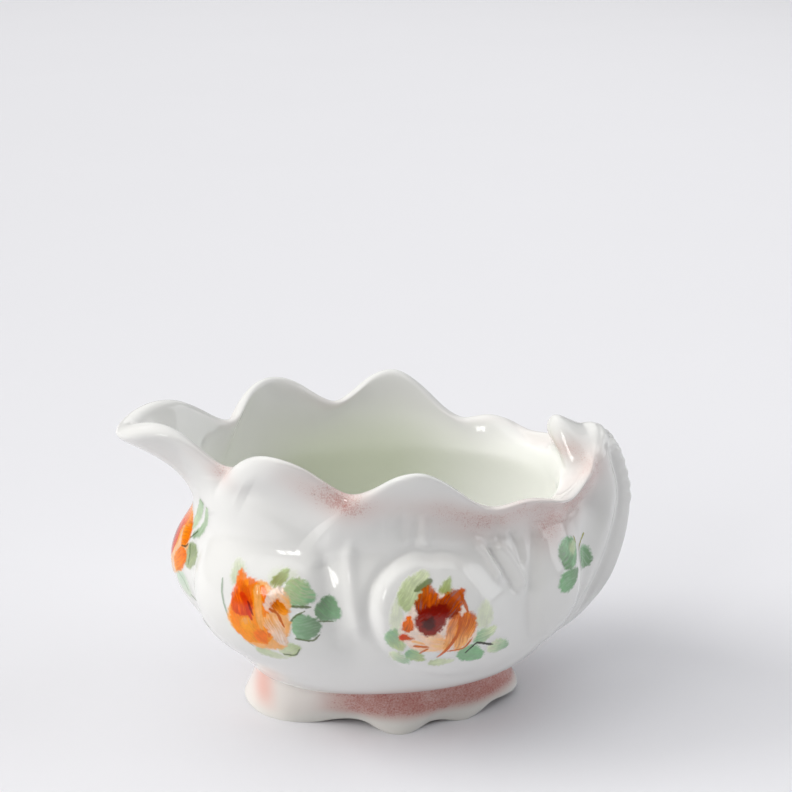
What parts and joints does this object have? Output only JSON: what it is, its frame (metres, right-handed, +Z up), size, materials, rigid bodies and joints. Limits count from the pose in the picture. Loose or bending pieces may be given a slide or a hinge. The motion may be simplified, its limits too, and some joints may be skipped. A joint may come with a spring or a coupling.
{
  "type": "porcelain cream jug",
  "caption": "Squat oval porcelain cream jug with a waved rim, broad pouring lip, closed scroll handle, scalloped foot and painted rose sprays.",
  "frame": {"origin": "middle of the whole jug's box in plan, on the surface it stands on", "axes": "+Z up, -X toward the pouring lip, +X toward the handle, +/-Y across the oval"},
  "size_m": [0.1404, 0.09, 0.088],
  "materials": {
    "porcelain": "gloss",
    "skirt_porcelain": "gloss",
    "rose_enamel": "gloss",
    "leaf_enamel": "gloss"
  },
  "bodies": {
    "root": {"bowl": "porcelain", "pouring_lip": "porcelain", "handle": "porcelain", "foot_skirt": "skirt_porcelain", "rose_spray_lip_side": "rose_enamel", "rose_spray_front_near": "rose_enamel", "rose_spray_side_near": "rose_enamel", "leaf_sprig_near": "leaf_enamel", "rose_spray_front_far": "rose_enamel", "rose_spray_side_far": "rose_enamel", "leaf_sprig_far": "leaf_enamel"}
  },
  "joints": []
}
